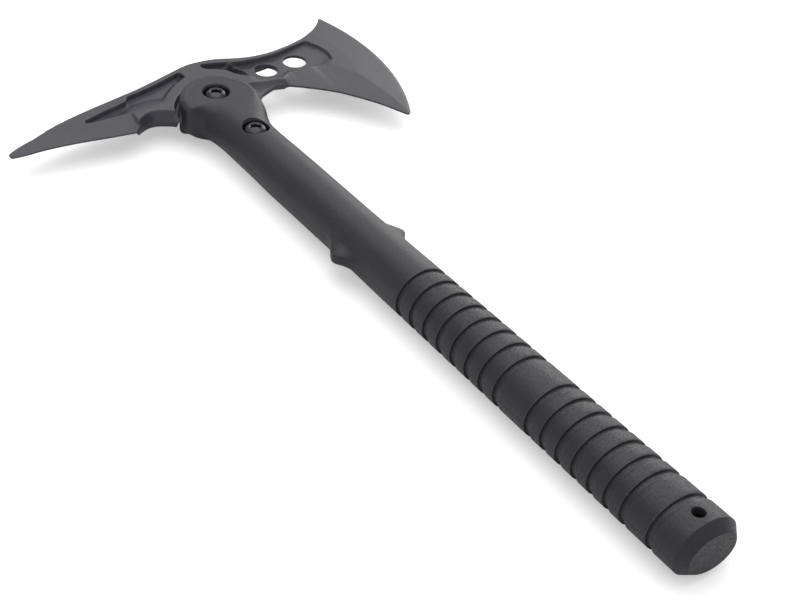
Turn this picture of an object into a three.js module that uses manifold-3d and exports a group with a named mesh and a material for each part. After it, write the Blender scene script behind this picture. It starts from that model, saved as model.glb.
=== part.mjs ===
// Spike tomahawk: a moulded two-shell handle that clamps the tang of a one-piece head with two bolts.
// Millimetres. +Y runs up the handle to the head, +X points to the blade, +Z is the thickness.
// Every shape is drawn about the head bolt's axis at mid thickness. The last lines move the whole
// object so that its origin is at the middle of its lowest face.
import * as THREE from 'three';
import { mergeVertices } from 'three/addons/utils/BufferGeometryUtils.js';
import Module from 'manifold-3d';

const wasm = await Module();
wasm.setup();

// ---------------------------------------------------------------- driving dimensions

const fitClearance = 0.3;       // gap round each piece that drops into a pocket or a bore
const faceClearance = 0.15;     // gap between the tang's faces and the shells

const head = {
  spikeReach: 98.5,             // bolt axis to the spike's point
  bladeReach: 93.8,             // bolt axis to the middle of the cutting edge
  hornHeight: 48,               // top end of the cutting edge above the bolt axis
  toeDepth: 46.5,               // bottom end of the cutting edge below the bolt axis
  edgeRadius: 120.5,            // radius of the cutting edge
  edgeMiddle: 14.4,             // height of the middle of the cutting edge
  hubHalf: 4.5,                 // half thickness at the hub
  bevelHalf: 1.85,              // half thickness where the cutting bevel starts
  edgeHalf: 0.45,                // half thickness of the blunt cutting edge
  tipHalf: 0.8,                 // half thickness at the spike's point
  bevelWidth: 14,
  webHalf: 1.4,                 // half thickness of the web between the pockets
  crownHeight: 34.9,            // highest point of the hub above the bolt axis
};

const hub = {
  ringInner: 20.3,              // recess that takes the handle's round cheek
  ringOuter: 27.5,
  recessHalf: 3,                // half thickness of the plate between the cheeks
  discRadius: 15,               // hidden round part of the plate
  seatX: -0.2,
  seatY: -4,
};

const tang = { width: 15, end: -54 };

const lightening = { radius: 5.6, near: [38, 17], far: [54.8, 18] };

const bolts = {
  spacing: 33.9,                // head bolt to neck bolt, down the handle
  shankRadius: 2.9,
  headRadius: 5.2,
  headHeight: 3.1,
  socketRadius: 2.3,            // corner radius of the hexagon socket
  socketDepth: 1.9,
  barrelRadius: 4.2,            // sleeve nut
  bushWall: 0.8,
  washerRadius: 5.4,
  washerThickness: 0.9,
  recessDepth: 4.3,
};

const cheek = {
  domeRadius: 18.2,             // round top of the cheeks
  centreX: -0.6,
  half: 10.4,                   // mid plane to the flat face of the cheek
  bevel: 1.4,
  lipHeight: -6.5,              // where the round cheek ends on the spike side
};

const neck = { top: -9, halfWidth: 13.5, squareness: 2.2, end: -50 };

const pommel = { reach: 334.5, bevelLength: 4.5, faceWidth: 11.6, faceDepth: 8.6 };

const grooves = {
  aboveEnd: 17.6,               // middle of the pommel groove above the pommel's face
  pitch: 9.25,
  width: 3,
  depth: 1,
  upperCount: 8,
  lowerCount: 7,
  band: 19.85,                  // from the last upper groove to the first lower groove
  pommelBand: 14.6,             // from the last lower groove to the pommel groove
};

// Middle of the groove nearest to the head, counted up from the pommel.
const gripTop = grooves.aboveEnd + grooves.pommelBand + grooves.band
  + (grooves.upperCount + grooves.lowerCount - 2) * grooves.pitch - pommel.reach;

const shaft = { halfWidth: 12.2, halfDepth: 11.1, end: gripTop + 50.2 };
const grip = { start: gripTop + 11.2, startWidth: 13.1, startDepth: 11.9, endWidth: 15.4, endDepth: 12 };

const lanyard = { y: 10.2 - pommel.reach, radius: 2.55, tubeRadius: 4, skin: 3 };

const nubs = { y: gripTop + 39.4, reach: 18.4, half: 5.5, bevel: 1.5 };

const core = { halfWidth: 6, half: 2, top: tang.end - 4, bottom: lanyard.y + 12.3 };

const cells = { depth: 7.5, length: 15.5, rib: 3 };

const bandMiddle = gripTop - (grooves.upperCount - 1) * grooves.pitch - grooves.band / 2;
const dowels = { radius: 1.25, half: 3, x: 9.3, stations: [gripTop + 74.2, bandMiddle, 24.9 - pommel.reach] };

const roundSegments = 32;       // facets round the handle
const boreSegments = 24;        // facets round a bolt, a bore or a washer

const black = { colour: 0x1d1e20, roughness: 0.55, metalness: 0 };
const headGrey = { colour: 0x2b2c2f, roughness: 0.5, metalness: 0.1 };
const plated = { colour: 0x141415, roughness: 0.25, metalness: 0.9 };
const steel = { colour: 0x8a8c8f, roughness: 0.35, metalness: 1 };

// ---------------------------------------------------------------- solids

/** Closed geometry to a solid that can be joined and cut. */
function toSolid(geometry) {
  const bare = (geometry.index ? geometry.toNonIndexed() : geometry.clone());
  bare.deleteAttribute('normal');
  bare.deleteAttribute('uv');
  const welded = mergeVertices(bare, 1e-4);
  const corners = Array.from(welded.index.array);
  const kept = [];
  for (let i = 0; i < corners.length; i += 3) {
    const [a, b, c] = corners.slice(i, i + 3);
    if (a !== b && b !== c && c !== a) kept.push(a, b, c);
  }
  return new wasm.Manifold(new wasm.Mesh({
    numProp: 3,
    vertProperties: new Float32Array(welded.attributes.position.array),
    triVerts: new Uint32Array(kept),
  }));
}

/** Solid back to a geometry. */
function toGeometry(solid) {
  const mesh = solid.getMesh();
  const geometry = new THREE.BufferGeometry();
  geometry.setAttribute('position', new THREE.BufferAttribute(mesh.vertProperties, 3));
  geometry.setIndex(new THREE.BufferAttribute(mesh.triVerts, 1));
  return geometry;
}

function joined(solids) {
  return solids.reduce((whole, solid) => whole.add(solid));
}

function without(solid, cutters) {
  return cutters.reduce((left, cutter) => left.subtract(cutter), solid);
}

/** Flat shape carried from one height to another. */
function prism(shape, low, high) {
  const geometry = new THREE.ExtrudeGeometry(shape, { depth: high - low, bevelEnabled: false });
  return geometry.translate(0, 0, low);
}

/** Prism with its edges chamfered round, symmetrical about mid thickness. */
function roundedPrism(shape, half, bevel) {
  const geometry = new THREE.ExtrudeGeometry(shape, {
    depth: 2 * (half - bevel),
    bevelThickness: bevel,
    bevelSize: bevel,
    bevelOffset: -bevel,
    bevelSegments: 2,
  });
  return geometry.translate(0, 0, bevel - half);
}

function roundBar(radius, low, high, x = 0, y = 0, segments = boreSegments) {
  const geometry = new THREE.CylinderGeometry(radius, radius, high - low, segments);
  return geometry.rotateX(Math.PI / 2).translate(x, y, (low + high) / 2);
}

function block(xLow, xHigh, yLow, yHigh, zLow, zHigh) {
  const geometry = new THREE.BoxGeometry(xHigh - xLow, yHigh - yLow, zHigh - zLow);
  return geometry.translate((xLow + xHigh) / 2, (yLow + yHigh) / 2, (zLow + zHigh) / 2);
}

function polygon(points) {
  return new THREE.Shape(points.map(([x, y]) => new THREE.Vector2(x, y)));
}

/** Closed outline: a run of two points is a straight line, a longer run is a spline through its points. */
function outline(runs, steps = 3) {
  const corners = [];
  for (const run of runs) {
    const points = run.map(([x, y]) => new THREE.Vector2(x, y));
    const drawn = points.length > 2 ? new THREE.SplineCurve(points).getPoints(steps * (points.length - 1)) : points;
    corners.push(...drawn.slice(0, -1));
  }
  return new THREE.Shape(corners);
}

/** Turns a region into a cutter whose floor is a sloping plane: height at a point, slope along X and Y. */
function slopedCutter(shape, floor, at, slopeX, slopeY) {
  const geometry = prism(shape, 0, 30);
  const position = geometry.attributes.position;
  for (let i = 0; i < position.count; i += 1) {
    const rise = (position.getX(i) - at[0]) * slopeX + (position.getY(i) - at[1]) * slopeY;
    position.setZ(i, position.getZ(i) + floor + rise);
  }
  return geometry;
}

/** The same geometry on the other side of mid thickness, with its faces still outward. */
function mirrored(geometry) {
  const copy = geometry.index ? geometry.toNonIndexed() : geometry.clone();
  const position = copy.attributes.position;
  for (let i = 0; i < position.count; i += 3) {
    const corner = [0, 1, 2].map((k) => new THREE.Vector3().fromBufferAttribute(position, i + k));
    [corner[0], corner[2], corner[1]].forEach((p, k) => position.setXYZ(i + k, p.x, p.y, -p.z));
  }
  return copy;
}

/** A cutter and its mirror image. */
function bothFaces(geometry) {
  return [toSolid(geometry), toSolid(mirrored(geometry))];
}

// ---------------------------------------------------------------- head

/** Point on the cutting edge at a height, less a distance towards the middle of its circle. */
function edgePoint(y, inset = 0) {
  const centreX = head.bladeReach - head.edgeRadius;
  const reach = head.edgeRadius - inset;
  return [centreX + Math.sqrt(reach ** 2 - (y - head.edgeMiddle) ** 2), y];
}

function edgeRun() {
  const steps = 14;
  return Array.from({ length: steps + 1 }, (_, i) => {
    const y = head.hornHeight - (i / steps) * (head.hornHeight + head.toeDepth - 1.5);
    return edgePoint(y);
  });
}

/** Top line of the head from the spike's point to the horn of the blade. */
function topRuns() {
  const tip = -head.spikeReach;
  const blade = head.bladeReach;
  const crown = head.crownHeight;
  const [hornX, hornY] = edgePoint(head.hornHeight);
  return [
    [[tip, 10.4], [tip + 0.6, 12.2], [tip + 4, 14.2], [tip + 10, 16.5], [tip + 20, 19.4], [tip + 35.6, 22.1],
      [tip + 52, 24.3], [-38.4, 25.2], [-30, 26.3], [-21, 28.3], [-11.7, 30.7], [-2.2, crown - 1.6]],
    [[-2.2, crown - 1.6], [3, crown - 0.4], [7, crown], [12.1, crown - 0.4], [17.2, crown - 1.2]],
    [[17.2, crown - 1.2], [21.8, 32.2], [26.1, 30.2], [30.5, 28.5], [35.5, 27.5], [41, 27.1], [46.9, 27.4],
      [53.2, 28.4], [59.8, 29.9], [blade - 26.7, 32.2], [blade - 17.9, 36.5], [blade - 9.3, 43.2],
      [hornX - 0.3, hornY]],
  ];
}

/** Bottom line of the head from the toe of the blade back to the spike's point. */
function bottomRuns() {
  const tip = -head.spikeReach;
  const [toeX, toeY] = [head.bladeReach - 17.6, -head.toeDepth];
  return [
    [[toeX + 0.4, toeY + 0.2], [toeX - 0.8, toeY + 0.6], ...beardRun().slice(1)],
    [[17.6, -9], [13, -12]],
    [[13, -12], [-13, -2]],
    [[-13, -2], [-21.6, 2.2]],
    [[-21.6, 2.2], [-28.1, 5.6], [-32.9, 5.1], [-38.4, 2.2], [-40.7, 0.9]],
    [[-40.7, 0.9], ...spikeEdge(), [tip + 0.6, 9.5], [tip, 10.4]],
  ];
}

/** Lower edge of the blade from the toe, round the hollow beside the handle. */
function beardRun() {
  const blade = head.bladeReach;
  return [[blade - 18.6, 1 - head.toeDepth], [blade - 20.3, -41.6], [blade - 24.2, -32.5], [blade - 29.4, -23.6],
    [58.8, -15.2], [52.2, -8.1], [46.2, -2.7], [41.6, 0.8], [36.8, 2.8], [34, 3], [28.6, 1.2], [23, -2.4],
    [18.8, -7.2], [17.6, -9]];
}

/** Lower edge of the spike, from the notch to the point. */
function spikeEdge() {
  const tip = -head.spikeReach;
  return [[-43.9, 1.5], [-57.6, 4.2], [-66, 5.9], [tip + 23.5, 7.4], [tip + 13.5, 8.4], [tip + 5, 8.7]];
}

function headOutline() {
  return outline([...topRuns(), edgeRun(), [edgeRun().at(-1), bottomRuns()[0][0]], ...bottomRuns()]);
}

/** Ring that thins the blade: a straight fall to the bevel, then the bevel down to the edge. */
function bladeTaper() {
  const centreX = head.bladeReach - head.edgeRadius;
  const bevelStart = head.edgeRadius - head.bevelWidth;
  const flatEnd = bevelStart - 50;
  const outside = head.edgeRadius + 10;
  const above = 20;
  const profile = [
    [flatEnd, head.hubHalf],
    [bevelStart, head.bevelHalf],
    [head.edgeRadius, head.edgeHalf],
    [outside, head.edgeHalf],
    [outside, above],
    [flatEnd, above],
    [flatEnd, head.hubHalf],
  ];
  const points = profile.map(([r, z]) => new THREE.Vector2(r, z));
  return new THREE.LatheGeometry(points, 120).rotateX(Math.PI / 2).translate(centreX, head.edgeMiddle, 0);
}

/** Plane that thins the spike to its point and towards its lower edge. */
function spikeTaper() {
  const start = -33;
  const region = polygon([[start, -20], [start, 60], [-head.spikeReach - 10, 60], [-head.spikeReach - 10, -20]]);
  const fall = (head.hubHalf - head.tipHalf) / (head.spikeReach + start);
  return slopedCutter(region, head.hubHalf, [start, 23], fall, 0);
}

/**
 * Cutter over a strip beside an edge line. The floor rises from the thin edge inwards.
 * Each station is [x, y, slope, width]; inward is to the left when turn is 1.
 */
function edgeFacet(stations, turn) {
  const ceiling = 30;
  const corners = [];
  stations.forEach(([x, y, slope, width], i) => {
    const [before, after] = [stations[Math.max(0, i - 1)], stations[Math.min(stations.length - 1, i + 1)]];
    const along = new THREE.Vector2(after[0] - before[0], after[1] - before[1]).normalize();
    const inward = new THREE.Vector2(-along.y * turn, along.x * turn);
    for (const d of [-1, width]) {
      const [px, py] = [x + inward.x * d, y + inward.y * d];
      corners.push([px, py, head.edgeHalf + slope * d], [px, py, ceiling]);
    }
  });
  const faces = [[0, 1, 3, 2]];
  for (let k = 0; k < 4 * (stations.length - 1); k += 4) {
    faces.push([k, k + 2, k + 6, k + 4], [k + 1, k + 5, k + 7, k + 3]);
    faces.push([k, k + 4, k + 5, k + 1], [k + 2, k + 3, k + 7, k + 6]);
  }
  const last = 4 * (stations.length - 1);
  faces.push([last, last + 2, last + 3, last + 1]);
  const index = faces.flatMap(([a, b, c, d]) => (turn === 1 ? [a, b, c, a, c, d] : [a, c, b, a, d, c]));
  const geometry = new THREE.BufferGeometry();
  geometry.setAttribute('position', new THREE.Float32BufferAttribute(corners.flat(), 3));
  geometry.setIndex(index);
  return geometry;
}

/** Facet that thins the lower part of the blade to the beard. */
function beardFacet() {
  const slopes = [0.1, 0.1, 0.1, 0.1, 0.13, 0.185, 0.25, 0.6, 0.9, 0.9, 0.75, 0.5, 0.45];
  const widths = [6, 12, 16, 20, 18, 15, 11, 7, 5, 5, 6, 8, 9];
  return edgeFacet(beardRun().slice(0, 13).map(([x, y], i) => [x, y, slopes[i], widths[i]]), -1);
}

/** Facet that thins the spike to its lower edge. */
function spikeFacet() {
  const slopes = [0.36, 0.36, 0.24, 0.16, 0.13, 0.12];
  const widths = [12, 9, 9.5, 11.5, 10, 7];
  return edgeFacet(spikeEdge().map(([x, y], i) => [x, y, slopes[i], widths[i]]), -1);
}

/** Pocket between the hub ring, the top rim and the crescent wall in the blade. */
function bladePocket() {
  const crescent = head.bladeReach - 22;
  const region = outline([
    [[11.2, 32], [19.8, 29.3], [24.2, 27.4], [28.7, 25.7], [34, 25.1], [40.7, 24.8], [48.3, 25.4], [56.9, 27.4],
      [crescent - 4.8, 29.7]],
    [[crescent - 4.8, 29.7], [crescent - 2.5, 29], [crescent - 1.6, 26.7], [crescent + 0.3, 22],
      [crescent + 0.9, 16.3], [crescent - 0.3, 10.8], [crescent - 2.1, 7.6]],
    [[crescent - 2.1, 7.6], [62, 6.5], [54, 8], [47, 8.6], [42, 8], [36, 7.6], [31, 8.2], [27.6, 9.4]],
    [[27.6, 9.4], [26.2, 11.6], [24.4, 13.4], [22.4, 15.4], [20.6, 18.4], [18.9, 21.4], [16.2, 23.8], [13.2, 25.6],
      [10.9, 27.4]],
    [[10.9, 27.4], [9.9, 29.6], [11.2, 32]],
  ]);
  return slopedCutter(region, head.webHalf, [38, 17], -0.018, 0);
}

/** Long pocket in the root of the spike, with a narrow tail towards the point. */
function spikePocket() {
  const region = outline([
    [[-59.4, 14.6], [-58.3, 16.6], [-52.7, 17.8], [-46.3, 19], [-40.8, 19.7], [-36.2, 20.6]],
    [[-36.2, 20.6], [-33.4, 23.4]],
    [[-33.4, 23.4], [-26.4, 24.7], [-19.8, 26], [-12, 28], [-7.1, 29.5], [-2.8, 30.7]],
    [[-2.8, 30.7], [-0.9, 28], [-2.4, 24.6]],
    [[-2.4, 24.6], [-9.5, 20.7], [-15.8, 15.6], [-19.4, 11.6], [-23, 9.9]],
    [[-23, 9.9], [-28.5, 10.2], [-40.8, 11.2], [-50, 12.4], [-56, 13.4], [-59.4, 14.6]],
  ]);
  return slopedCutter(region, 1.9, [-30, 23], 0.05, -0.2);
}

/** Bean-shaped slot through the web beside the hub ring. */
function hubSlot() {
  return polygon([[18.9, 24.4], [20.4, 26.4], [22.2, 27], [24.4, 26.4], [26.2, 24.8], [28.1, 20.9], [28.2, 18.6],
    [27.6, 16.2], [26.6, 14.4], [25.2, 13.4], [23.8, 14], [21.2, 17], [20.1, 19.1], [19.2, 21.6]].reverse());
}

/** Round seat for the cheeks, and the open space below it where the shells meet the hub. */
function cheekRecess() {
  const low = hub.recessHalf;
  const below = polygon([[-21, -40], [-21, 2], [-hub.ringInner + 0.6, 4], [hub.ringInner - 0.2, -3], [19.6, -5.5],
    [19.6, -40]]);
  return [
    ...bothFaces(roundBar(hub.ringInner, low, 20, hub.seatX, hub.seatY, 48)),
    ...bothFaces(prism(below, low, 20)),
  ];
}

function buildHead() {
  const body = toSolid(prism(headOutline(), -head.hubHalf, head.hubHalf));
  const plate = toSolid(roundBar(hub.discRadius, -hub.recessHalf, hub.recessHalf, 0, 0, 48));
  const halfWidth = tang.width / 2;
  const blade = toSolid(block(-halfWidth, halfWidth, tang.end, 0, -hub.recessHalf, hub.recessHalf));
  const boltBore = bolts.barrelRadius + fitClearance + bolts.bushWall + fitClearance;
  const bores = [0, -bolts.spacing].map((y) => toSolid(roundBar(boltBore, -20, 20, 0, y)));
  const holes = [lightening.near, lightening.far].map(([x, y]) => (
    toSolid(roundBar(lightening.radius, -20, 20, x, y, 40))));
  return without(joined([body, plate, blade]), [
    ...bothFaces(bladeTaper()),
    ...bothFaces(spikeTaper()),
    ...bothFaces(beardFacet()),
    ...bothFaces(spikeFacet()),
    ...bothFaces(bladePocket()),
    ...bothFaces(spikePocket()),
    ...cheekRecess(),
    toSolid(prism(hubSlot(), -20, 20)),
    ...bores,
    ...holes,
  ]);
}

// ---------------------------------------------------------------- handle

/** Plan of the cheeks: round top, then edges that run in under the neck's surface. */
function cheekOutline() {
  const { domeRadius: r, centreX, lipHeight } = cheek;
  const round = Array.from({ length: 13 }, (_, i) => {
    const turn = (i / 12) * Math.PI;
    return [centreX + r * Math.cos(turn), hub.seatY + r * Math.sin(turn)];
  });
  const [right, left] = [centreX + r, centreX - r];
  const hidden = neck.top - 18;
  return outline([
    round,
    [[left, hub.seatY], [left + 0.3, lipHeight + 0.6], [left + 1.6, lipHeight - 1.2], [left + 4.2, lipHeight - 2.6],
      [-neck.halfWidth + 0.9, neck.top - 3.4]],
    [[-neck.halfWidth + 0.9, neck.top - 3.4], [-neck.halfWidth / 2, hidden]],
    [[-neck.halfWidth / 2, hidden], [neck.halfWidth / 2, hidden]],
    [[neck.halfWidth / 2, hidden], [12.2, neck.top - 17]],
    [[12.2, neck.top - 17], [13.6, neck.top - 14], [15, neck.top - 10.5], [right - 1.4, neck.top - 6],
      [right - 0.3, neck.top], [right, hub.seatY]],
  ]);
}

/** Stations of the neck, where the section eases from a rounded block into the shaft's ellipse. */
function neckStations() {
  const count = 6;
  return Array.from({ length: count }, (_, i) => {
    const t = i / count;
    const ease = 0.5 + 0.5 * Math.cos(Math.PI * t);
    return {
      y: neck.top + t * (neck.end - neck.top),
      width: shaft.halfWidth + ease * (neck.halfWidth - shaft.halfWidth),
      depth: shaft.halfDepth + ease * (cheek.half - shaft.halfDepth),
      squareness: 2 + ease ** 2 * (neck.squareness - 2),
    };
  });
}

/** Half width, half depth and squareness of the smooth handle at each station, down to the pommel. */
function handleStations() {
  return [
    ...neckStations(),
    { y: neck.end, width: shaft.halfWidth, depth: shaft.halfDepth, squareness: 2 },
    { y: shaft.end, width: shaft.halfWidth + 0.2, depth: shaft.halfDepth + 0.1, squareness: 2 },
    { y: grip.start, width: grip.startWidth, depth: grip.startDepth, squareness: 2 },
    { y: pommel.bevelLength - pommel.reach, width: grip.endWidth, depth: grip.endDepth, squareness: 2 },
    { y: -pommel.reach, width: pommel.faceWidth, depth: pommel.faceDepth, squareness: 2 },
  ];
}

/** Section at any height, straight between stations, less an inset all round. */
function sectionAt(y, inset = 0) {
  const stations = handleStations();
  const next = Math.max(1, stations.findIndex((station) => station.y <= y));
  const [a, b] = [stations[next - 1], stations[next]];
  const t = (a.y - y) / (a.y - b.y);
  return {
    y,
    width: THREE.MathUtils.lerp(a.width, b.width, t) - inset,
    depth: THREE.MathUtils.lerp(a.depth, b.depth, t) - inset,
    squareness: THREE.MathUtils.lerp(a.squareness, b.squareness, t),
  };
}

/** Moves a point of the round lathe to the superellipse of its ring. */
function toSection(x, z, ring) {
  const angle = Math.atan2(z, x);
  const power = 2 / ring.squareness;
  const [c, s] = [Math.cos(angle), Math.sin(angle)];
  return [ring.width * Math.sign(c) * Math.abs(c) ** power, ring.depth * Math.sign(s) * Math.abs(s) ** power];
}

function grooveMiddles() {
  const { pitch, upperCount, lowerCount, band, pommelBand } = grooves;
  const upper = Array.from({ length: upperCount }, (_, i) => gripTop - i * pitch);
  const lower = Array.from({ length: lowerCount }, (_, i) => upper.at(-1) - band - i * pitch);
  return [...upper, ...lower, lower.at(-1) - pommelBand];
}

/** Handle below the cheeks: a lathe of the half widths, then each ring takes its own section. */
function handleBody() {
  const half = grooves.width / 2;
  const rings = handleStations().map((station) => sectionAt(station.y));
  for (const y of grooveMiddles()) {
    rings.push(sectionAt(y + half), sectionAt(y + half, grooves.depth));
    rings.push(sectionAt(y - half, grooves.depth), sectionAt(y - half));
  }
  const ordered = rings.map((ring, i) => ({ ...ring, i })).sort((a, b) => a.y - b.y || b.i - a.i);
  const axisPoint = ({ y }) => ({ y, width: 0 });
  const profile = [axisPoint(ordered[0]), ...ordered, axisPoint(ordered.at(-1))];
  const points = profile.map(({ width, y }) => new THREE.Vector2(width, y));
  const geometry = new THREE.LatheGeometry(points, roundSegments);
  const position = geometry.attributes.position;
  for (let i = 0; i < position.count; i += 1) {
    const ring = profile[i % profile.length];
    if (ring.width > 0) {
      const [x, z] = toSection(position.getX(i), position.getZ(i), ring);
      position.setX(i, x);
      position.setZ(i, z);
    }
  }
  return toSolid(geometry);
}

/** Pair of blunt stops on the edges of the handle, steep towards the head. */
function nubPair() {
  const base = shaft.halfWidth - 2;
  const { y, reach } = nubs;
  return [1, -1].map((side) => {
    const points = [[base, y + 12], [shaft.halfWidth + 0.4, y + 8.6], [reach - 2.6, y + 5], [reach - 0.5, y + 2],
      [reach, y - 0.4], [reach - 0.6, y - 2.6], [reach - 2.6, y - 6.4], [shaft.halfWidth + 1.6, y - 11.6],
      [base, y - 22]];
    const ordered = side > 0 ? [...points].reverse() : points;
    return toSolid(roundedPrism(polygon(ordered.map(([x, py]) => [side * x, py])), nubs.half, nubs.bevel));
  });
}

/** Room for the head inside the handle, with its clearances. */
function headPocket() {
  const half = hub.recessHalf + faceClearance;
  const gap = fitClearance;
  const halfWidth = tang.width / 2 + gap;
  const plate = polygon([[60, 60], [-60, 60], [-60, 2.2 - gap], [-21.6, 2.2 - gap], [-13, -2 - gap],
    [13, -12 - gap], [17.6, -9 - gap], [22, -4.4 - gap], [60, -4.4 - gap]].reverse());
  return [
    toSolid(prism(plate, -half, half)),
    toSolid(roundBar(hub.discRadius + gap, -half, half, 0, 0, 48)),
    toSolid(block(-halfWidth, halfWidth, tang.end - gap, 0, -half, half)),
  ];
}

/** Bolt bores and the round recesses for bolt heads and nut heads. */
function boltBores() {
  const bore = bolts.barrelRadius + fitClearance;
  const recess = bolts.washerRadius + fitClearance;
  const floor = cheek.half - bolts.recessDepth;
  return [0, -bolts.spacing].flatMap((y) => [
    toSolid(roundBar(bore, -20, 20, 0, y)),
    toSolid(roundBar(recess, floor, 20, 0, y)),
    toSolid(roundBar(recess, -20, -floor, 0, y)),
  ]);
}

/** Cored-out cells of the grip, one after another between ribs. */
function coringCells() {
  const halfWidth = core.halfWidth + fitClearance;
  const step = cells.length + cells.rib;
  const count = Math.floor((core.top - core.bottom - cells.rib) / step);
  return Array.from({ length: count }, (_, i) => {
    const top = core.top - cells.rib - i * step;
    return toSolid(block(-halfWidth, halfWidth, top - cells.length, top, -cells.depth, cells.depth));
  });
}

function corePocket() {
  const halfWidth = core.halfWidth + fitClearance;
  const half = core.half + fitClearance;
  return toSolid(block(-halfWidth, halfWidth, core.bottom - fitClearance, core.top + fitClearance, -half, half));
}

function dowelPlaces() {
  return dowels.stations.flatMap((y) => [[-dowels.x, y], [dowels.x, y]]);
}

function dowelBores() {
  const half = dowels.half + fitClearance;
  return dowelPlaces().map(([x, y]) => toSolid(roundBar(dowels.radius + fitClearance, -half, half, x, y, 16)));
}

/** Lanyard hole through the skins, and the wider bore for its tube. */
function lanyardBores() {
  const half = sectionAt(lanyard.y).depth - lanyard.skin;
  return [
    toSolid(roundBar(lanyard.radius, -20, 20, 0, lanyard.y)),
    toSolid(roundBar(lanyard.tubeRadius + fitClearance, -half, half, 0, lanyard.y)),
  ];
}

function buildHandle() {
  const cheeks = toSolid(roundedPrism(cheekOutline(), cheek.half, cheek.bevel));
  return without(joined([handleBody(), cheeks, ...nubPair()]), [
    ...headPocket(),
    ...boltBores(),
    ...coringCells(),
    corePocket(),
    ...dowelBores(),
    ...lanyardBores(),
  ]);
}

function frontHalf(solid) {
  return solid.intersect(toSolid(block(-200, 200, -500, 200, 0, 50)));
}

function backHalf(solid) {
  return solid.intersect(toSolid(block(-200, 200, -500, 200, -50, 0)));
}

// ---------------------------------------------------------------- fasteners and inner pieces

/** Low domed head with a hexagon socket, from its seat upwards. */
function buttonHead(seat) {
  const { headRadius: r, headHeight: h } = bolts;
  const profile = [[0, 0], [r, 0], [r, h * 0.25], [r * 0.93, h * 0.55], [r * 0.76, h * 0.82], [r * 0.55, h], [0, h]];
  const points = profile.map(([x, y]) => new THREE.Vector2(x, y));
  const dome = new THREE.LatheGeometry(points, boreSegments).rotateX(Math.PI / 2).translate(0, 0, seat);
  const socket = roundBar(bolts.socketRadius, seat + h - bolts.socketDepth, seat + h + 5, 0, 0, 6);
  return without(toSolid(dome), [toSolid(socket)]);
}

function seatHeight() {
  return cheek.half - bolts.recessDepth + bolts.washerThickness;
}

/** Socket bolt: its head on the front washer, its shank in the sleeve nut. */
function buildBolt() {
  const seat = seatHeight();
  const shank = toSolid(roundBar(bolts.shankRadius, 1 - seat, seat + 0.5, 0, 0));
  return joined([buttonHead(seat), shank]);
}

/** Sleeve nut: the same head at the back, and a bored barrel that reaches into the front shell. */
function buildNut() {
  const seat = seatHeight();
  const barrelEnd = seat - bolts.washerThickness - 1;
  const barrel = toSolid(roundBar(bolts.barrelRadius, -barrelEnd, seat + 0.5, 0, 0));
  const bore = toSolid(roundBar(bolts.shankRadius + fitClearance, -20, seat - 0.6, 0, 0));
  return joined([buttonHead(seat), barrel]).subtract(bore);
}

function buildRing(outer, inner, low, high) {
  return toSolid(roundBar(outer, low, high)).subtract(toSolid(roundBar(inner, low - 1, high + 1)));
}

function buildWasher() {
  const low = cheek.half - bolts.recessDepth;
  return buildRing(bolts.washerRadius, bolts.barrelRadius + fitClearance, low, low + bolts.washerThickness);
}

function buildBush() {
  const inner = bolts.barrelRadius + fitClearance;
  return buildRing(inner + bolts.bushWall, inner, -hub.recessHalf, hub.recessHalf);
}

function buildCore() {
  return toSolid(block(-core.halfWidth, core.halfWidth, core.bottom, core.top, -core.half, core.half));
}

function buildLanyardTube() {
  const half = sectionAt(lanyard.y).depth - lanyard.skin - fitClearance;
  return buildRing(lanyard.tubeRadius, lanyard.radius, -half, half);
}

// ---------------------------------------------------------------- assembly

const tomahawk = new THREE.Group();
tomahawk.name = 'spike_tomahawk';
const placed = new THREE.Group();
tomahawk.add(placed);

function addPiece(name, solid, finish, place = [0, 0, 0]) {
  const material = new THREE.MeshStandardMaterial({
    color: finish.colour,
    roughness: finish.roughness,
    metalness: finish.metalness,
  });
  const mesh = new THREE.Mesh(toGeometry(solid), material);
  mesh.name = name;
  mesh.position.set(...place);
  placed.add(mesh);
}

/** Solid turned over, back to front, about the handle's axis. */
function turnedOver(solid) {
  return toSolid(toGeometry(solid).rotateY(Math.PI));
}

const handle = buildHandle();
addPiece('axe_head', buildHead(), headGrey);
addPiece('handle_front_half', frontHalf(handle), black);
addPiece('handle_back_half', backHalf(handle), black);

for (const [name, y] of [['head', 0], ['neck', -bolts.spacing]]) {
  addPiece(`${name}_bolt`, buildBolt(), plated, [0, y, 0]);
  addPiece(`${name}_sleeve_nut`, turnedOver(buildNut()), plated, [0, y, 0]);
  addPiece(`${name}_bolt_washer`, buildWasher(), steel, [0, y, 0]);
  addPiece(`${name}_nut_washer`, turnedOver(buildWasher()), steel, [0, y, 0]);
  addPiece(`${name}_tang_bush`, buildBush(), steel, [0, y, 0]);
}

addPiece('grip_core', buildCore(), steel);
addPiece('lanyard_tube', buildLanyardTube(), black, [0, lanyard.y, 0]);
dowelPlaces().forEach(([x, y], i) => {
  const pin = toSolid(roundBar(dowels.radius, -dowels.half, dowels.half, 0, 0, 16));
  addPiece(`shell_dowel_${i + 1}`, pin, steel, [x, y, 0]);
});

const box = new THREE.Box3().setFromObject(placed);
placed.position.set(-(box.min.x + box.max.x) / 2, -(box.min.y + box.max.y) / 2, -box.min.z);

export default tomahawk;
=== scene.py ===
"""Looks of a spike tomahawk: a satin one-piece head bolted between the two moulded halves of a black grooved handle.

Shapes are drawn in millimetres about the head bolt's axis at mid thickness: +Y runs up the handle, +X points to the
blade and +Z is the thickness. Bench.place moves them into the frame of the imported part.
"""
import logging
import math
from dataclasses import dataclass, field
from enum import Enum
from typing import Callable, Sequence

import bpy
import numpy as np
from mathutils import Matrix, Vector
from mathutils.geometry import delaunay_2d_cdt


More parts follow.
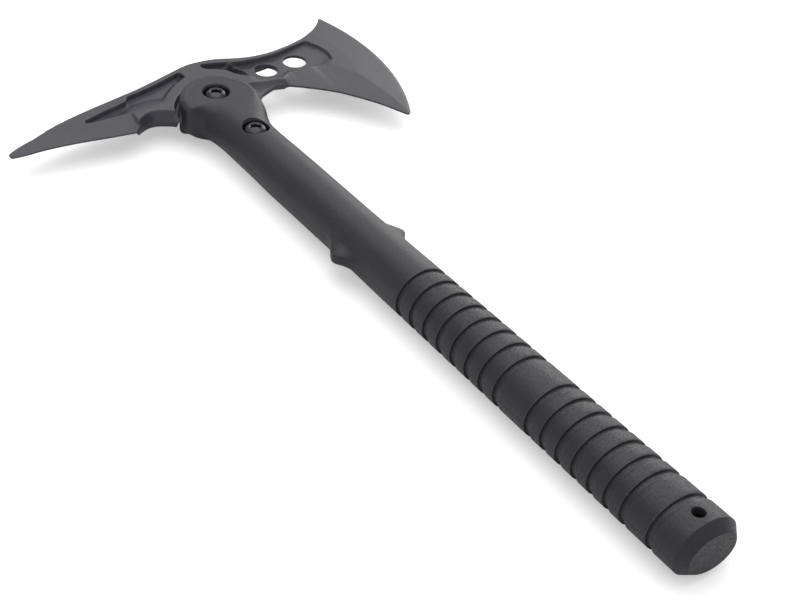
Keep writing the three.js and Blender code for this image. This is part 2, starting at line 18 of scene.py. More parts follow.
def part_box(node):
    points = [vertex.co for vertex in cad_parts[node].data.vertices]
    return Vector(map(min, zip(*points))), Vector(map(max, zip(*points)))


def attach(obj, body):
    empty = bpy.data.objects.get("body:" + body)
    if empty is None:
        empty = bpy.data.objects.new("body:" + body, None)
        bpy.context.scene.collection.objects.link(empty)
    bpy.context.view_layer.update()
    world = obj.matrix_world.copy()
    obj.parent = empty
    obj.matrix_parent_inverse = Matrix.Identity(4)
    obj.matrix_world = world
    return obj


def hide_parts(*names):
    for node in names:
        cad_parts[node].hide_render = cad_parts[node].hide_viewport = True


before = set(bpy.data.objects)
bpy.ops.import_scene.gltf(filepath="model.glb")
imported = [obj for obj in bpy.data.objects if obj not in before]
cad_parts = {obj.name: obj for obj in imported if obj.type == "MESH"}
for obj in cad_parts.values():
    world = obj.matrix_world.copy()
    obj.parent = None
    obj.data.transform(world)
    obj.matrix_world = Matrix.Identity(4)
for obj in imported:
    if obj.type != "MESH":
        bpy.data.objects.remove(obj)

log = logging.getLogger("tomahawk")
Array = np.ndarray
Pair = tuple[float, float]
Triple = tuple[float, float, float]
Points = Sequence[Pair]
Rows = Sequence[Triple]
Socket = bpy.types.NodeSocket
Value = Socket | float | tuple[float, ...]
MM = 0.001
MID_HEIGHT = 0.012  # height of the mid plane above the floor, in metres of the frame
POLE = 0.05  # radius of the small disc that closes a turned solid, in millimetres
CHUNK = 4000  # points handled at once, to bound the memory


# ------------------------------------------------------------------------------------------------ curves in plan


def spline(points: Points, spacing: float) -> Array:
    """Smooth open curve through points, by the Catmull-Rom cubic, at an even spacing along it.

    Args:
        points: Points that the curve passes through, in millimetres.
        spacing: Distance between neighbouring samples.

    Returns:
        Samples from the first point to the last, one row each.
    """
    p = np.asarray(points, float)
    if len(p) > 2:
        ends = np.vstack([2 * p[0] - p[1], p, 2 * p[-1] - p[-2]])
        t = np.linspace(0, 1, 24, endpoint=False)[:, None]
        parts = []
        for a, b, c, d in zip(ends[:-3], ends[1:-2], ends[2:-1], ends[3:]):
            parts.append(b + 0.5 * t * (c - a + t * (2 * a - 5 * b + 4 * c - d + t * (3 * (b - c) + d - a))))
        p = np.vstack(parts + [p[-1:]])
    return even(p, spacing)


def even(p: Array, spacing: float) -> Array:
    """Open polyline sampled again at an even spacing, by linear interpolation along its length."""
    run = np.concatenate([[0], np.cumsum(np.linalg.norm(np.diff(p, axis=0), axis=1))])
    count = max(2, int(round(run[-1] / spacing)) + 1)
    s = np.linspace(0, run[-1], count)
    return np.stack([np.interp(s, run, p[:, k]) for k in range(p.shape[1])], -1)


def table_at(table: Sequence[tuple[float, ...]], at: Array, column: int = 1) -> Array:
    """Column of a table at places of its first column, by straight lines; that column may rise or fall."""
    t = np.asarray(table)
    sign = 1 if t[-1, 0] > t[0, 0] else -1
    return np.interp(sign * at, sign * t[:, 0], t[:, column])


def ring(centre: Pair, radius: float, spacing: float) -> Array:
    """Closed circle as a polyline without a repeated last point."""
    count = max(24, int(2 * math.pi * radius / spacing))
    turn = np.linspace(0, 2 * math.pi, count, endpoint=False)
    return np.stack([centre[0] + radius * np.cos(turn), centre[1] + radius * np.sin(turn)], -1)


def loop(runs: Sequence[Array]) -> Array:
    """Joins open runs, each starting where the last one ended, into one closed polyline."""
    return np.vstack([run[:-1] for run in runs])


def nearest(points: Array, line: Array, closed: bool) -> Array:
    """Distance from each point to a polyline, whose segments are all tried at once for each chunk of points."""
    a = line if closed else line[:-1]
    b = np.roll(line, -1, axis=0) if closed else line[1:]
    ab = b - a
    length = np.maximum((ab**2).sum(1), 1e-12)
    distance = np.empty(len(points))
    for start in range(0, len(points), CHUNK):
        p = points[start:start + CHUNK]
        px, py = p[:, 0:1] - a[:, 0], p[:, 1:2] - a[:, 1]
        t = np.clip((px * ab[:, 0] + py * ab[:, 1]) / length, 0, 1)
        gap = (px - t * ab[:, 0]) ** 2 + (py - t * ab[:, 1]) ** 2
        distance[start:start + CHUNK] = np.sqrt(gap.min(1))
    return distance


def clearance(points: Array, lines: Sequence[Array], closed: bool) -> Array:
    """Distance from each point to the nearest of several polylines."""
    return np.min([nearest(points, line, closed) for line in lines], axis=0)


def inside(points: Array, line: Array) -> Array:
    """True for each point within a closed polyline, by the crossings of a ray along +X."""
    x0, y0 = line[:, 0], line[:, 1]
    x1, y1 = np.roll(x0, -1), np.roll(y0, -1)
    result = np.zeros(len(points), bool)
    for start in range(0, len(points), CHUNK):
        x, y = points[start:start + CHUNK, 0:1], points[start:start + CHUNK, 1:2]
        spans = (y0 > y) != (y1 > y)
        rise = np.where(y1 == y0, 1.0, y1 - y0)
        result[start:start + CHUNK] = (spans & (x < (x1 - x0) * (y - y0) / rise + x0)).sum(1) % 2 == 1
    return result


def normals(line: Array) -> Array:
    """Unit normals of a closed polyline at its points, to the left of its direction."""
    along = np.roll(line, -1, axis=0) - np.roll(line, 1, axis=0)
    along /= np.maximum(np.linalg.norm(along, axis=1, keepdims=True), 1e-9)
    return np.stack([-along[:, 1], along[:, 0]], -1)


def turning(line: Array) -> float:
    """Twice the signed area of a closed polyline, positive when it runs counter-clockwise."""
    return np.sum(line[:, 0] * np.roll(line[:, 1], -1) - np.roll(line[:, 0], -1) * line[:, 1])


def step(t: Array) -> Array:
    """Smooth step from 0 to 1: the cubic 3t^2 - 2t^3 held at both ends."""
    t = np.clip(t, 0, 1)
    return t * t * (3 - 2 * t)


def capped(h: Array, where: Array, limit: Array) -> Array:
    """Values kept as they are, but held to a limit where a mask is true."""
    return np.where(where, np.minimum(h, limit), h)


def bulge(t: Array) -> Array:
    """Quarter circle from 0 at t = 0 up to 1 at t = 1, held after that."""
    return np.sqrt(np.maximum(0, 1 - (1 - np.clip(t, 0, 1)) ** 2))


# ------------------------------------------------------------------------------------------------ meshes


def show(obj: bpy.types.Object) -> None:
    """Puts an object in the scene."""
    bpy.context.scene.collection.objects.link(obj)


@dataclass
class Bench:
    """Makes meshes into pieces of the frame.

    Attributes:
        origin: The head bolt's axis at mid thickness, in the frame, in metres.
    """

    origin: Triple

    def place(self, points: Array) -> Array:
        """Points in millimetres about the head bolt, in the frame's metres."""
        return points * MM + np.asarray(self.origin)

    def piece(self, name: str, points: Array, faces: Sequence[Sequence[int]], node: str, material: bpy.types.Material) -> bpy.types.Object:
        """Makes a piece that stands for one CAD node.

        Args:
            name: The piece's name.
            points: Its vertices in millimetres about the head bolt.
            faces: Its faces, counter-clockwise from outside.
            node: The CAD node that it replaces.
            material: Its finish.

        Returns:
            The new object, riding on the root body.
        """
        obj = self.mesh(name, points, faces, material)
        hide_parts(node)
        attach(obj, "root")
        log.info("%s: %d vertices, %d faces", name, len(obj.data.vertices), len(obj.data.polygons))
        return obj

    def mesh(self, name: str, points: Array, faces: Sequence[Sequence[int]],
             material: bpy.types.Material | None = None) -> bpy.types.Object:
        """Smooth-shaded mesh object in the scene, with its place in its vertices."""
        data = bpy.data.meshes.new(name)
        data.from_pydata(self.place(np.asarray(points, float)).tolist(), [], [list(f) for f in faces])
        data.validate()
        data.polygons.foreach_set("use_smooth", np.ones(len(data.polygons), bool))
        if material is not None:
            data.materials.append(material)
        obj = bpy.data.objects.new(name, data)
        show(obj)
        return obj

    def cut(self, obj: bpy.types.Object, cutters: Sequence[bpy.types.Object]) -> None:
        """Cuts solids out of a piece, one after another, and removes them."""
        for cutter in cutters:
            knife = obj.modifiers.new("cut", "BOOLEAN")
            knife.operation = "DIFFERENCE"
            knife.solver = "EXACT"
            knife.object = cutter
            scene = bpy.context.evaluated_depsgraph_get()
            result = bpy.data.meshes.new_from_object(obj.evaluated_get(scene))
            obj.modifiers.remove(knife)
            old = obj.data
            obj.data = result
            result.name = old.name
            bpy.data.meshes.remove(old)
            bpy.data.objects.remove(cutter)


def grid_faces(rows: int, columns: int, wrap: bool = False) -> list[tuple[int, int, int, int]]:
    """Quads of a grid of rows by columns, joined round from the last column to the first if wrap."""
    r = np.arange(rows - 1)[:, None]
    c = np.arange(columns if wrap else columns - 1)[None, :]
    n = (c + 1) % columns
    here, above = r * columns, (r + 1) * columns
    quads = np.stack(np.broadcast_arrays(here + c, here + n, above + n, above + c), -1)
    return [tuple(q) for q in quads.reshape(-1, 4).tolist()]


def turned(profile: Array, columns: int, shape: Callable[[Array, Array], Array] | None = None) -> tuple[Array, list]:
    """Solid of revolution about Z: each profile point (radius, height) swept round, with both ends closed by a disc.

    Args:
        profile: Radius and height of each ring, from the bottom to the top.
        columns: Points round each ring.
        shape: Optional function of (ring index, angle) that gives a factor on the radius.

    Returns:
        Vertices and faces.
    """
    turn = np.linspace(0, 2 * math.pi, columns, endpoint=False)
    index = np.arange(len(profile))
    factor = shape(index[:, None], turn[None, :]) if shape else 1.0
    radius = profile[:, 0:1] * factor * np.ones((1, columns))
    points = np.stack([radius * np.cos(turn), radius * np.sin(turn), profile[:, 1:2] * np.ones((1, columns))], -1)
    faces = grid_faces(len(profile), columns, wrap=True)
    last = (len(profile) - 1) * columns
    faces.append(tuple(range(columns - 1, -1, -1)))
    faces.append(tuple(range(last, last + columns)))
    return points.reshape(-1, 3), faces


# ------------------------------------------------------------------------------------------------ head


@dataclass
class Head:
    """One-piece head: a relief of half thickness over its plan, the same on both faces.

    The half thickness at each place is the least of the body, the bevels, the facets along the lower edges, the
    rounded rims and the seat of the handle, less the depth of the pockets. All sizes are in millimetres.

    The tables body, crest, the slopes, lean, floor, depth and widths have the place along X in their first column.
    The outline runs clockwise through top, edge, toe, beard, hidden, notch and spike. Each pocket has a steep
    border (wall), and a border where its floor fades out (fade); the spike's also has one along the seat (ring).
    The plan's points are rows beside the borders and the pockets' walls, then a grid of step fine, thinned to every
    coarse-th point where the second difference of the half thickness is under bend_limit, and kept free of the rows.
    """

    hub_half: float = 4.5
    groove_width: float = 1.75
    groove_half: float = 0.9
    edge_centre: Pair = (-26.7, 14.4)
    edge_radius: float = 120.5
    bevel_rise: float = 0.098
    rim_round: float = 0.4
    seat: Pair = (-0.2, -4.0)
    seat_radius: float = 20.3
    seat_half: float = 3.0
    body: Points = ((-98.5, 0.8), (-59, 3.2), (-33, 4.5), (30, 4.5), (69, 2.4), (80, 1.85), (94, 1.4))
    crest: Points = ((24, 4.5), (28, 3.9), (32, 3.2), (37, 2.9), (44, 2.9), (50, 3.1))
    beard_slope: Points = (
        (39.4, 1.5), (41.7, 0.52), (43.8, 0.31), (47, 0.21), (52.5, 0.185), (57, 0.155), (60, 0.11), (65, 0.1))
    spike_slope: Points = ((-98, 0.12), (-85, 0.13), (-75, 0.16), (-66, 0.24), (-58, 0.36), (-41, 0.36))
    tip_slope: Points = ((-98, 0.55), (-85, 0.7), (-78, 1.5), (-70, 6))
    lean: Sequence[tuple[float, float, float, float]] = (
        (17, 0.8, 8.5, 2), (21, 0.8, 8, 2), (25.5, 0.9, 6.0, 1.8), (29, 1.0, 5.2, 1.5), (32, 1.0, 4.4, 1.3),
        (36, 0.9, 3.8, 1.2), (38.8, 0.8, 3.4, 1.1), (41, 0.8, 3.4, 1))
    wall_width: float = 0.85
    ring_width: float = 3.4
    blade_floor: Points = ((12, 1.5), (25, 1.5), (37, 1.4), (54, 0.8), (68, 0.75))
    blade_fade_width: Points = ((30, 1.2), (36, 1.6), (47, 4.5), (60, 5.5))
    spike_depth: Points = ((-58, 2.2), (-50, 2.5), (-30, 2.6))
    spike_fade_width: Points = ((-58, 1.2), (-50, 2.5), (-41, 5), (-33, 9), (-10, 10))
    holes: tuple[Triple, ...] = ((38.0, 17.0, 5.6), (54.8, 18.0, 5.65))
    bores: tuple[Triple, ...] = ((0.0, 0.0, 5.6), (0.0, -33.9, 5.6))
    chamfer: float = 0.35
    chamfer_depth: float = 0.3
    spacing: float = 0.7
    fine: float = 0.36
    coarse: int = 3
    bend_limit: float = 0.012
    wall_free: float = 0.85
    grid_free: float = 0.95
    grid_wall_free: float = 1.3
    merge: float = 0.09
    rim_rows: Sequence[float] = (0.08, 0.2, 0.4, 0.75)
    hole_rows: Sequence[float] = (0.12, 0.35)
    wall_rows: Sequence[float] = (-0.25, 0.0, 0.15, 0.3, 0.45, 0.6, 0.75, 0.9, 1.15)
    top: Points = (
        (-98.4, 10.9), (-97.9, 12.3), (-94.6, 14.2), (-88.5, 16.6), (-84, 17.9), (-78.3, 19.4), (-71, 20.8),
        (-62.9, 22.1), (-54.7, 23.3), (-46.6, 24.3), (-38.4, 25.2), (-30, 26.3), (-21, 28.3), (-11.7, 30.7),
        (-2.2, 33.3), (3, 34.5), (6.9, 34.9), (12.1, 34.5), (17.2, 33.7), (21.8, 32.2), (26.1, 30.2), (30.5, 28.5),
        (35.5, 27.5), (41, 27.1), (46.9, 27.4), (53.2, 28.4), (59.8, 29.9), (67.1, 32.2), (71.2, 33.9), (75.9, 36.5),
        (80.3, 39.6), (84.5, 43.2), (88.7, 47.9))
    toe: Points = ((77.6, -45.8), (76.8, -46.45), (75.8, -46.4), (75.2, -45.7))
    beard: Points = (
        (75.2, -45.7), (73.5, -41.6), (69.6, -32.5), (64.4, -23.6), (58.8, -15.2), (52.2, -8.1), (48.6, -4.9),
        (46.2, -2.7), (43.8, -0.9), (41.6, 0.8), (39.4, 2), (36.8, 2.8), (34, 3), (31.8, 2.4), (28.6, 1.2),
        (25.5, -0.2), (23, -2.4), (20.8, -4.6), (18.8, -7.2), (17.6, -9))
    hidden: Points = (
        (17.6, -9), (13, -12), (7.5, -14), (7.5, -54), (-7.5, -54), (-7.5, -9), (-13, -5), (-21.6, 2.2))
    notch: Points = ((-21.6, 2.2), (-28.1, 5.6), (-32.9, 5.1), (-38.4, 2.2), (-40.7, 0.9))
    spike: Points = (
        (-40.7, 0.9), (-43.9, 1.5), (-50.8, 2.8), (-57.6, 4.2), (-64.3, 5.6), (-71.1, 6.8), (-78, 7.8), (-85, 8.4),
        (-89.9, 8.4), (-93.6, 8.7), (-96.3, 9.1), (-98, 9.5), (-98.4, 10.9))
    blade_wall: Points = (
        (27.6, 9.4), (26.2, 11.6), (24.4, 13.4), (22.4, 15.4), (20.6, 18.4), (18.9, 21.4), (16.2, 23.8), (13.2, 25.6),
        (10.9, 27.4), (9.9, 29.6), (11.2, 32.0), (19.8, 29.3), (24.2, 27.4), (28.7, 25.7), (34, 25.1), (40.7, 24.8),
        (48.3, 25.4), (56.9, 27.4), (65.2, 29.3), (67, 29.7), (69.3, 29), (70.2, 26.7), (72.1, 22), (72.7, 16.3),
        (71.5, 10.8), (69.7, 7.6))
    blade_fade: Points = (
        (69.7, 7.6), (66.5, 5.6), (62, 5.2), (54, 7), (47, 7.6), (42, 6.6), (36, 6.4), (31, 7.6), (27.6, 9.4))
    spike_wall: Points = (
        (-59.4, 14.6), (-58.8, 16), (-58.3, 16.6), (-52.7, 17.8), (-46.3, 19), (-40.8, 19.7), (-36.9, 20.4),
        (-35.7, 20.8), (-34.3, 22.4), (-32.9, 23.6), (-26.4, 24.7), (-19.8, 26), (-12, 28), (-7.1, 29.5),
        (-2.8, 30.7), (-1.2, 30), (-0.9, 28), (-0.9, 26), (-2.4, 24.6))
    spike_ring: Points = ((-2.4, 24.6), (-9.5, 20.7), (-15.8, 15.6), (-19.4, 11.6), (-23, 9.9))
    spike_fade: Points = (
        (-23, 9.9), (-28.5, 10.2), (-40.8, 11.2), (-50, 12.4), (-56, 13.4), (-59.4, 14.6))
    slot: Points = (
        (18.9, 24.4), (20.4, 26.4), (22.2, 27), (24.4, 26.4), (26.2, 24.8), (27.3, 23), (28.1, 20.9), (28.2, 18.6),
        (27.6, 16.2), (26.6, 14.4), (25.2, 13.4), (23.8, 14), (22.4, 15.4), (21.2, 17), (20.1, 19.1), (19.2, 21.6))
    lines: dict[str, Array] = field(default_factory=dict)

    def __post_init__(self) -> None:
        """Draws the outline and the pockets' borders as smooth polylines."""
        cx, cy = self.edge_centre
        high, low = np.asarray(self.top[-1]), np.asarray(self.toe[0])
        a = math.atan2(high[1] - cy, high[0] - cx)
        b = math.atan2(low[1] - cy, low[0] - cx)
        turn = np.linspace(a, b, 140)
        edge = np.stack([cx + self.edge_radius * np.cos(turn), cy + self.edge_radius * np.sin(turn)], -1)
        edge[0], edge[-1] = high, low
        s = self.spacing
        draw = self.lines
        draw["top"] = spline(self.top, s)
        draw["edge"] = edge
        draw["beard"] = np.vstack([spline(self.toe, 0.3)[:-1], spline(self.beard, s)])
        draw["hidden"] = even(np.asarray(self.hidden, float), 1.0)
        draw["notch"] = spline(self.notch, s)
        draw["spike"] = spline(self.spike, s)
        draw["outline"] = loop([draw[k] for k in ("top", "edge", "beard", "hidden", "notch", "spike")])
        for name in ("blade_wall", "blade_fade", "spike_wall", "spike_ring", "spike_fade"):
            draw[name] = spline(getattr(self, name), s)
        draw["blade"] = loop([draw["blade_wall"], draw["blade_fade"]])
        draw["spike_pocket"] = loop([draw["spike_wall"], draw["spike_ring"], draw["spike_fade"]])
        draw["slot"] = spline([*self.slot, self.slot[0]], 0.5)[:-1]

    def half(self, p: Array) -> Array:
        """Half thickness at points of the plan, in millimetres: the least of the surfaces that meet there."""
        x, y = p[:, 0], p[:, 1]
        draw = self.lines
        h = table_at(self.body, x)
        h = capped(h, (x > 24) & (x < 52), table_at(self.crest, x) + 2 * step((y - 9) / 6))
        top = nearest(p, draw["top"], False)
        low = nearest(p, np.vstack([draw["beard"], draw["notch"], draw["spike"]]), False)
        inward = self.edge_radius - np.hypot(x - self.edge_centre[0], y - self.edge_centre[1])
        bevel = np.minimum(0.45 + self.bevel_rise * inward, 0.14 + 0.36 * inward)
        h = capped(h, x > 60, bevel)
        h = self.pockets(p, h)
        h = capped(h, (x > 39.4) & (y < 20), 0.45 + table_at(self.beard_slope, x) * low)
        h = capped(h, (x > 14) & (x < 41) & (y < 14), self.wall(x, low))
        notch = nearest(p, draw["notch"], False)
        h = capped(h, (x < -18) & (x > -42), 0.3 + 2.9 * notch)
        spike = nearest(p, draw["spike"], False)
        h = capped(h, x < -38, 0.4 + table_at(self.spike_slope, x) * spike)
        h = capped(h, x < -66, 0.35 + table_at(self.tip_slope, x) * top)
        r = self.rim_round
        h = h - r * np.minimum(1, h / 2) * (1 - bulge(np.minimum(top, 9) / r))
        return np.maximum(h, 0.1)

    def wall(self, x: Array, d: Array) -> Array:
        """Wall that leans in from the parting line beside the handle: a power curve over its width."""
        edge, width, power = (table_at(self.lean, x, column) for column in (1, 2, 3))
        return edge + (self.hub_half - edge) * (d / width) ** power

    def pockets(self, p: Array, h: Array) -> Array:
        """Takes the two pockets and the seat of the handle out of a half thickness."""
        x, y = p[:, 0], p[:, 1]
        draw = self.lines
        within = inside(p, draw["blade"])
        wall = nearest(p, draw["blade_wall"], False)
        fade = nearest(p, draw["blade_fade"], False)
        ramp = np.minimum(step(wall / self.wall_width), step(fade / table_at(self.blade_fade_width, x)))
        h = np.where(within, h + (np.minimum(table_at(self.blade_floor, x), h) - h) * ramp, h)
        within = inside(p, draw["spike_pocket"])
        wall = nearest(p, draw["spike_wall"], False)
        border = nearest(p, draw["spike_ring"], False)
        fade = nearest(p, draw["spike_fade"], False)
        share = np.clip(fade / table_at(self.spike_fade_width, x), 0, 1)
        ramp = step(wall / self.wall_width) * step(border / self.ring_width) * share
        h = np.where(within, h - table_at(self.spike_depth, x) * ramp, h)
        out = np.hypot(x - self.seat[0], y - self.seat[1]) - self.seat_radius
        dip = (self.seat_half - self.groove_half) * step((out + self.groove_width) / 0.4)
        seat = np.where(out < 0, self.seat_half - dip, self.hub_half)
        seat = np.where(out > 0, self.groove_half + (self.hub_half - self.groove_half) * bulge(out / 0.5), seat)
        seat = np.where(y < -9, self.seat_half, seat)
        tang = (y < -13.9) | ((np.abs(x) < 8) & (y < -8))
        return np.where(tang, np.minimum(h, self.seat_half), np.minimum(h, seat))

    def build(self, bench: Bench, finish: bpy.types.Material) -> bpy.types.Object:
        """Builds the head as two mirrored faces joined by a narrow side wall.

        Args:
            bench: Makes the piece.
            finish: The head's coating.

        Returns:
            The head.
        """
        loops = [self.lines["outline"], self.lines["slot"]]
        loops += [ring(c[:2], c[2], 0.6) for c in self.holes + self.bores]
        plan = self.sites(loops)
        edges = []
        start = 0
        for line in loops:
            n = len(line)
            edges += [(start + i, start + (i + 1) % n) for i in range(n)]
            start += n
        result = delaunay_2d_cdt([Vector(q) for q in plan.tolist()], edges, [], 0, 1e-6)
        flat = np.array([tuple(v) for v in result[0]])
        new = {old: i for i, olds in enumerate(result[3]) for old in olds}
        tri = np.array([f for f in result[2] if len(f) == 3])
        a, b, c = flat[tri[:, 0]], flat[tri[:, 1]], flat[tri[:, 2]]
        area = (b[:, 0] - a[:, 0]) * (c[:, 1] - a[:, 1]) - (b[:, 1] - a[:, 1]) * (c[:, 0] - a[:, 0])
        tri[area < 0] = tri[area < 0][:, ::-1]
        middle = (a + b + c) / 3
        keep = inside(middle, loops[0])
        for line in loops[1:]:
            keep &= ~inside(middle, line)
        tri = tri[keep & (np.abs(area) > 1e-9)]
        h = self.relief(flat)
        front = np.column_stack([flat, h])
        back = np.column_stack([flat, -h])
        points = [front, back]
        faces = tri.tolist() + (tri[:, ::-1] + len(flat)).tolist()
        total = 2 * len(flat)
        start = 0
        for k, line in enumerate(loops):
            n = len(line)
            rim = np.array([new[start + i] for i in range(n)])
            middle_row = np.column_stack([line, np.zeros(n)])
            points.append(middle_row)
            rows = [rim, total + np.arange(n), rim + len(flat)]
            flip = (turning(line) > 0) == (k == 0)
            for above, below in zip(rows[:-1], rows[1:]):
                quads = np.stack([above, below, np.roll(below, -1), np.roll(above, -1)], -1)
                faces += (quads if flip else quads[:, ::-1]).tolist()
            total += n
            start += n
        return bench.piece("tomahawk_head", np.vstack(points), faces, "axe_head", finish)

    def relief(self, flat: Array) -> Array:
        """Half thickness with the small chamfers of the holes and the slot, as used for the mesh."""
        h = self.half(flat)
        for x, y, r in self.holes:
            out = np.hypot(flat[:, 0] - x, flat[:, 1] - y) - r
            h = self.eased(h, out)
        slot = nearest(flat, self.lines["slot"], True)
        return self.eased(h, slot)

    def eased(self, h: Array, out: Array) -> Array:
        """Half thickness with a rounded chamfer taken off near a border, by the distance out from it."""
        return np.where(out < self.chamfer, h - self.chamfer_depth * (1 - bulge(out / self.chamfer)), h)

    def sites(self, loops: Sequence[Array]) -> Array:
        """Plan points of the mesh: loops first, rows beside them and the pocket walls, then a grid that is finer where
        the relief bends.

        Args:
            loops: Closed borders of the plan, the outline first.

        Returns:
            The points, those on the loops first.
        """
        rows = []
        for k, line in enumerate(loops):
            side = normals(line) * (1 if (turning(line) > 0) == (k == 0) else -1)
            for off in self.rim_rows if k == 0 else self.hole_rows:
                rows.append((line + side * off, off))
        solid_rows = []
        for points, off in rows:
            solid_rows.append(points[clearance(points, loops, True) > off * 0.93])
        walls = []
        for name in ("blade_wall", "spike_wall"):
            line = self.lines[name]
            side = normals(line)
            side[0], side[-1] = side[1], side[-2]
            inner = inside(line + side * 0.5, self.lines["blade" if name == "blade_wall" else "spike_pocket"])
            sign = 1 if inner.mean() > 0.5 else -1
            for off in self.wall_rows:
                walls.append(line + side * sign * off)
        walls = np.vstack(walls)
        walls = walls[clearance(walls, loops, True) > self.wall_free]
        lo, hi = loops[0].min(0), loops[0].max(0)
        e = self.fine
        gx, gy = np.arange(lo[0], hi[0], e), np.arange(lo[1], hi[1], e)
        grid = np.stack(np.meshgrid(gx, gy, indexing="ij"), -1)
        flat = grid.reshape(-1, 2)
        h = np.zeros(len(flat))
        within = inside(flat, loops[0])
        h[within] = self.half(flat[within])
        h = h.reshape(grid.shape[:2])
        bend = np.zeros_like(h)
        bend[1:-1, 1:-1] = np.maximum(np.abs(h[2:, 1:-1] + h[:-2, 1:-1] - 2 * h[1:-1, 1:-1]),
                                      np.abs(h[1:-1, 2:] + h[1:-1, :-2] - 2 * h[1:-1, 1:-1]))
        i, j = np.meshgrid(np.arange(len(gx)), np.arange(len(gy)), indexing="ij")
        sparse = (i % self.coarse == 0) & (j % self.coarse == 0)
        keep = ((bend > self.bend_limit) | sparse).ravel() & within
        flat = flat[keep]
        wall_gap = clearance(flat, [self.lines[n] for n in ("blade_wall", "spike_wall")], False)
        flat = flat[(clearance(flat, loops, True) > self.grid_free) & (wall_gap > self.grid_wall_free)]
        plan = np.vstack(list(loops) + solid_rows + [walls, flat])
        on_loops = sum(len(line) for line in loops)
        head, rest = plan[:on_loops], plan[on_loops:]
        ok = inside(rest, loops[0])
        for line in loops[1:]:
            ok &= ~inside(rest, line)
        rest = rest[ok]
        _, unique = np.unique(np.round(rest / self.merge), axis=0, return_index=True)
        return np.vstack([head, rest[np.sort(unique)]])


# ------------------------------------------------------------------------------------------------ handle


class Face(Enum):
    """Side of the mid plane that a piece lies on."""

    FRONT = 1
    BACK = -1


